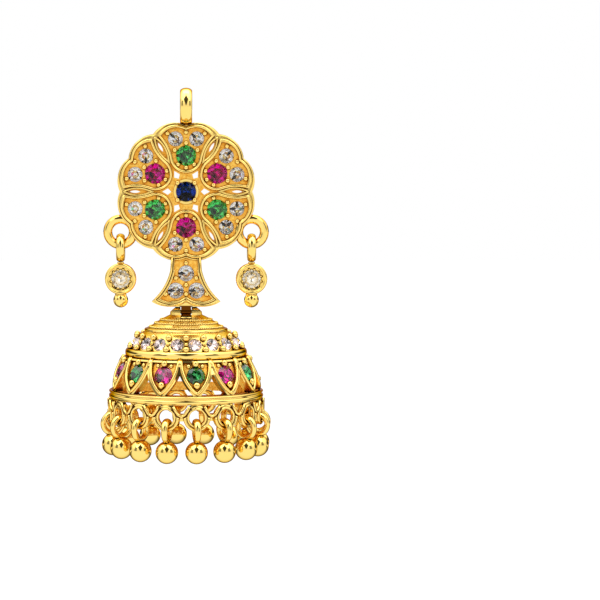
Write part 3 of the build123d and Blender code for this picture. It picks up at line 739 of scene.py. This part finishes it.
BAND_GREEN = stone_finish("band_green_stone", colour=(0.08, 0.44, 0.18, 1), haze=(0.18, 0.56, 0.28, 1),
                          dim=(0.004, 0.05, 0.015, 1), lit=(0.45, 0.85, 0.55, 1), refraction=1.7, gloss=1.0)
BAND_RUBY = stone_finish("band_ruby_stone", colour=(0.60, 0.006, 0.28, 1), haze=(0.74, 0.03, 0.42, 1),
                         dim=(0.12, 0.003, 0.05, 1), lit=(1.0, 0.50, 0.90, 1), refraction=1.7, gloss=1.0)
PETALS = 13
BAND_TURNS = [8.3 + 360 / PETALS * i for i in range(PETALS)]
BAND_SIZE = (1.12, 0.38, 0.62)
BAND_SEAT = (8.3, -22.2, 23)                    # radius, height and tilt
BAND_PRONGS = ((0, 1.43, 0.2), (0, -1.3, 0.2))  # across, up and out from a stone's girdle
BAND_GRAINS = ((-0.84, 1.2, -0.05), (0.84, 1.2, -0.05))
RIM_FOOT, RIM_SIDE, RIM_HEAD = (0, -24.35), (1.46, -22.4), (1.72, -20.42)
RIM_RADIUS, RIM_SINK, BAR_RADIUS, BAR_SINK = 0.21, 0.02, 0.3, 0.06
BAR_HEIGHTS = (-20.4, -20.8, -21.2)


def on_band(azimuth, x, z, lift):
    """A point of the band: across from a petal's middle, at a height, and that far proud of it."""
    a = radians(azimuth)
    radius = band_radius(z) + lift
    out = sqrt(radius * radius - x * x)
    return (out * sin(a) + x * cos(a), AXIS_Y - out * cos(a) + x * sin(a), z)


side = arc(RIM_FOOT, RIM_SIDE, RIM_HEAD, 16) + [RIM_HEAD]
rim = [(-x, z) for x, z in reversed(side[1:])] + side
rims = [[on_band(turn, x, z, -RIM_SINK) for x, z in rim] for turn in BAND_TURNS]
lay_wire("band_rims", rims, RIM_RADIUS, "bell", False, BRIGHT_GOLD)
bars = [[on_band(turn + 180 / PETALS, 0, z, -BAR_SINK) for z in BAR_HEIGHTS] for turn in BAND_TURNS]
lay_wire("band_bars", bars, BAR_RADIUS, "bell", False, BRIGHT_GOLD)
for number, turn in enumerate(BAND_TURNS, start=1):
    from_front = min(number - 1, PETALS + 1 - number)
    finish, slot = (BAND_RUBY, "red_stone") if from_front % 2 else (BAND_GREEN, "green_stone")
    set_stones(f"band_brilliant_{number:02d}", f"stone_band_{number:02d}", [dome_seat(turn, *BAND_SEAT)],
               BAND_SIZE, finish, "bell", painted_dark_share=0.2)
for name, radius, spots in (("band_prongs", 0.42, BAND_PRONGS), ("band_grains", 0.28, BAND_GRAINS)):
    seats = [dome_seat(turn, *BAND_SEAT) @ Matrix.Translation(spot) for turn in BAND_TURNS for spot in spots]
    raise_beads(name, seats, radius, "bell")


# --- Skirt loops --------------------------------------------------------------------------------------
# Sixteen cast loops under the lower moulding, which the drops hang in. Round wire is soldered on them:
# a ring round each hole, a sling under it, and between two loops a yoke that dips from the moulding.
# Thin wires painted dark lie in the grooves between ring and yoke, as painted shade lines.

LOOP_TURNS = [7.9 + 22.5 * i for i in range(16)]
LOOP_REACH, LOOP_Z, LOOP_FRONT = 9.2, -27.15, 0.34
YOKE_REACH, YOKE_TURN = 9.62, 11.25
YOKE = across([(-0.98, -25.8), (-0.72, -26.3), (-0.4, -26.78), (0, -27.0)])
YOKE_GROOVE = ((1.2, -25.9), (0.97, -26.38), (0.72, -26.78), (0.5, -27.02))
RING_REACH, SLING_REACH = 1.08, 1.46            # from the hole's middle to the wire's middle


def on_loop(points, turn):
    """Points given across and up from a loop's middle, laid on its front."""
    seat = dome_seat(turn, LOOP_REACH, LOOP_Z)
    return [seat @ Vector((x, z, LOOP_FRONT)) for x, z in points]


def beside_loop(points, turn):
    """Points given across from the gap after a loop, with their heights."""
    seat = dome_seat(turn + YOKE_TURN, YOKE_REACH, 0)
    return [seat @ Vector((x, z, 0)) for x, z in points]


ring = [polar(RING_REACH, 360 * i / 30) for i in range(30)]
sling = [polar(SLING_REACH, 180 + 180 * i / 16) for i in range(17)]
grooves = [[(side * x, z) for x, z in YOKE_GROOVE] for side in (-1, 1)]
for name, paths, radius, closed, finish in (
    ("loop_rings", [on_loop(ring, turn) for turn in LOOP_TURNS], 0.16, True, BRIGHT_GOLD),
    ("loop_slings", [on_loop(sling, turn) for turn in LOOP_TURNS], 0.2, False, BRIGHT_GOLD),
    ("loop_yokes", [beside_loop(YOKE, turn) for turn in LOOP_TURNS], 0.19, False, BRIGHT_GOLD),
    ("yoke_shades", [beside_loop(groove, turn) for turn in LOOP_TURNS for groove in grooves], 0.08, False,
     SHADED_GOLD),
):
    lay_wire(name, paths, radius, "bell", closed, finish)


# --- Ball drops ---------------------------------------------------------------------------------------
# Sixteen round balls, each soldered to a bail that tapers down to it and hangs loose in its own loop.
# They are polished all over and plated with the rest.

BALL_RADIUS, BALL_Z = 1.38, -31.42
BAIL_RADIUS, BAIL_WIRE, BAIL_Z = 1.2, 0.355, -28.83
FLARE_FOOT, FLARE_HEIGHT, FLARE = -30.0, 2.3, 0.3         # the bail is that much wider at its top


def make_drop():
    """A ball and its bail, in millimetres at their height, in line with the dome's axis."""
    bpy.ops.object.select_all(action="DESELECT")
    bpy.ops.mesh.primitive_uv_sphere_add(segments=40, ring_count=24, radius=BALL_RADIUS,
                                         location=(0, 0, BALL_Z))
    ball = bpy.context.object
    bpy.ops.mesh.primitive_torus_add(major_radius=BAIL_RADIUS, minor_radius=BAIL_WIRE, major_segments=40,
                                     minor_segments=16, location=(0, 0, BAIL_Z), rotation=(0, pi / 2, 0))
    bpy.ops.object.transform_apply(location=True, rotation=True)
    for vertex in bpy.context.object.data.vertices:
        share = (vertex.co.z - FLARE_FOOT) / FLARE_HEIGHT
        vertex.co.x *= 1.0 + FLARE * min(max(share, 0), 1)
    ball.select_set(True)
    bpy.context.view_layer.objects.active = ball
    bpy.ops.object.join()
    bpy.ops.object.transform_apply(location=True)
    bpy.ops.object.shade_smooth()
    mould = ball.data
    bpy.data.objects.remove(ball)
    return mould


DROP = make_drop()
upright = Matrix.Rotation(-pi / 2, 4, "X")
for number, turn in enumerate(LOOP_TURNS, start=1):
    drop = join_copies(f"ball_drop_{number:02d}", DROP, [dome_seat(turn, LOOP_REACH, 0) @ upright])
    finish_piece(drop, BRIGHT_GOLD, "bell")
    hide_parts(f"drop_{number:02d}")


# --- Studio -------------------------------------------------------------------------------------------
# A bright white room with a white sweep under the earring, a wide soft box above and one on each side.
# Dark cards, seams and a dark gap above the camera show in the gold as its dark lines. The camera
# stands at the rosette's height and looks slightly down.

SWEEP_SIZE, SWEEP_Z = 2.4, cad_box[0][2] - 22 * MM
STRIP_START, STRIP_END = 0.03, 0.05                       # a dark strip across the sweep, behind the dome
STRIP_GREY = (0.08, 0.08, 0.08, 1)
WALL_LIGHT, UPPER_LIGHT, CEILING_LIGHT = 0.98, 0.45, 1.2  # each is added to the one before
CARD_DARK, SEAM_DARK, ALL_DARK = 0.92, 0.8, 0.96          # how much of the light each takes
UPPER_RISES, CEILING_RISES, CARD_RISES = (12, 30), (40, 64), (26, 10)      # none to full, in degrees up
CARD_TURNS, SEAM_TURNS, SEAM_RISES = (112, 150), (40, 62), (8, 38)         # degrees from the front, and up
GAP_RISE, GAP_HALF_WIDTH, GAP_HALF_HEIGHT = 45, 30, 40
CAMERA_DISTANCE, CAMERA_Z = 240 * MM, 0.5 * MM
VIEW_WIDTH, VIEW_SHIFT, VIEW_MIDDLE = 75 * MM, 14.24 * MM, -13.55 * MM
FILM_WIDTH = 36

bpy.ops.object.select_all(action="DESELECT")
bpy.ops.mesh.primitive_plane_add(size=SWEEP_SIZE, location=(0, 0, SWEEP_Z))
sweep = bpy.context.object
sweep.name = "studio_floor"
bpy.ops.object.transform_apply(location=True)
sweep_paint, sheet, shader = shader_tree("floor_paint")
shader.inputs["Base Color"].default_value = (0.05, 0.05, 0.05, 1)
shader.inputs["Roughness"].default_value = 0.9
shader.inputs["Specular IOR Level"].default_value = 0.0
shader.inputs["Emission Strength"].default_value = 1.0
far = place_node(sheet, "SeparateXYZ", {0: place_node(sheet, "TexCoord").outputs["Object"]}).outputs["Y"]
strip = maths(sheet, "MULTIPLY", step(sheet, far, STRIP_START - 0.04, STRIP_START),
              step(sheet, far, STRIP_END + 0.03, STRIP_END))
reflected = mix_colours(sheet, strip, (1, 1, 1, 1), STRIP_GREY)
seen = place_node(sheet, "LightPath").outputs["Is Camera Ray"]
feed(sheet, mix_colours(sheet, seen, reflected, (1, 1, 1, 1)), shader.inputs["Emission Color"])
sweep.data.materials.append(sweep_paint)

world = bpy.data.worlds.new("studio")
bpy.context.scene.world = world
world.use_nodes = True
room = world.node_tree
room.nodes.clear()
axes = place_node(room, "SeparateXYZ", {0: place_node(room, "TexCoord").outputs["Generated"]}).outputs
rise = maths(room, "DEGREES", maths(room, "ARCSINE", axes["Z"]))
turn = maths(room, "DEGREES", maths(room, "ARCTAN2", axes["X"], maths(room, "MULTIPLY", axes["Y"], -1.0)))
aside = maths(room, "ABSOLUTE", turn)


def between(value, low, high, soft):
    """1 between two limits, falling to 0 over the soft distance outside them."""
    return maths(room, "MULTIPLY", step(room, value, low - soft, low), step(room, value, high + soft, high))


card = maths(room, "MULTIPLY", step(room, rise, *CARD_RISES), between(aside, *CARD_TURNS, 12))
walls = maths(room, "MULTIPLY_ADD", card, -CARD_DARK, WALL_LIGHT)
walls = maths(room, "MULTIPLY_ADD", step(room, rise, *UPPER_RISES), UPPER_LIGHT, walls)
walls = maths(room, "MULTIPLY_ADD", step(room, rise, *CEILING_RISES), CEILING_LIGHT, walls)
off_middle = maths(room, "ABSOLUTE", maths(room, "SUBTRACT", rise, GAP_RISE))
diamond = maths(room, "MULTIPLY_ADD", aside, 1 / GAP_HALF_WIDTH,
                maths(room, "MULTIPLY", off_middle, 1 / GAP_HALF_HEIGHT))
camera_gap = step(room, diamond, 1.1, 0.92)
seams = maths(room, "MULTIPLY", between(rise, *SEAM_RISES, 8), between(aside, *SEAM_TURNS, 6))
dark = maths(room, "MAXIMUM", camera_gap, maths(room, "MULTIPLY", seams, SEAM_DARK))
lit = maths(room, "MULTIPLY", walls, maths(room, "MULTIPLY_ADD", dark, -ALL_DARK, 1.0))
seen = maths(room, "MAXIMUM", lit, place_node(room, "LightPath").outputs["Is Camera Ray"])
grey = place_node(room, "CombineColor", {0: seen, 1: seen, 2: seen}).outputs[0]
glow = place_node(room, "Background", {"Color": grey, "Strength": 1.0}).outputs[0]
place_node(room, "OutputWorld", {"Surface": glow})

for name, spot, size, radiance in (
    ("soft_box_top", (0.0, 0.16, 0.48), 0.36, 1.8),
    ("soft_box_left", (-0.30, -0.28, 0.36), 0.15, 2.0),
    ("soft_box_right", (0.32, -0.26, 0.34), 0.14, 1.8),
):
    lamp = bpy.data.lights.new(name, "AREA")
    lamp.shape = "SQUARE"
    lamp.size = size
    lamp.energy = radiance * pi * size * size
    soft_box = bpy.data.objects.new(name, lamp)
    soft_box.location = spot
    soft_box.rotation_euler = (Vector((0, 0, -0.01)) - Vector(spot)).to_track_quat("-Z", "Y").to_euler()
    bpy.context.scene.collection.objects.link(soft_box)

lens = bpy.data.cameras.new("camera")
lens.sensor_width = FILM_WIDTH
lens.lens = FILM_WIDTH * CAMERA_DISTANCE / VIEW_WIDTH
lens.shift_x = VIEW_SHIFT / VIEW_WIDTH
lens.clip_start = 0.01
lens.clip_end = 10
camera = bpy.data.objects.new("camera", lens)
camera.location = (0, -CAMERA_DISTANCE, CAMERA_Z)
gaze = Vector((0, 0, VIEW_MIDDLE)) - camera.location
camera.rotation_euler = gaze.to_track_quat("-Z", "Y").to_euler()
bpy.context.scene.collection.objects.link(camera)
bpy.context.scene.camera = camera
bpy.context.scene.view_settings.view_transform = "Standard"
bpy.context.scene.cycles.max_bounces = 24
bpy.context.scene.cycles.transmission_bounces = 16
bpy.context.scene.cycles.glossy_bounces = 10
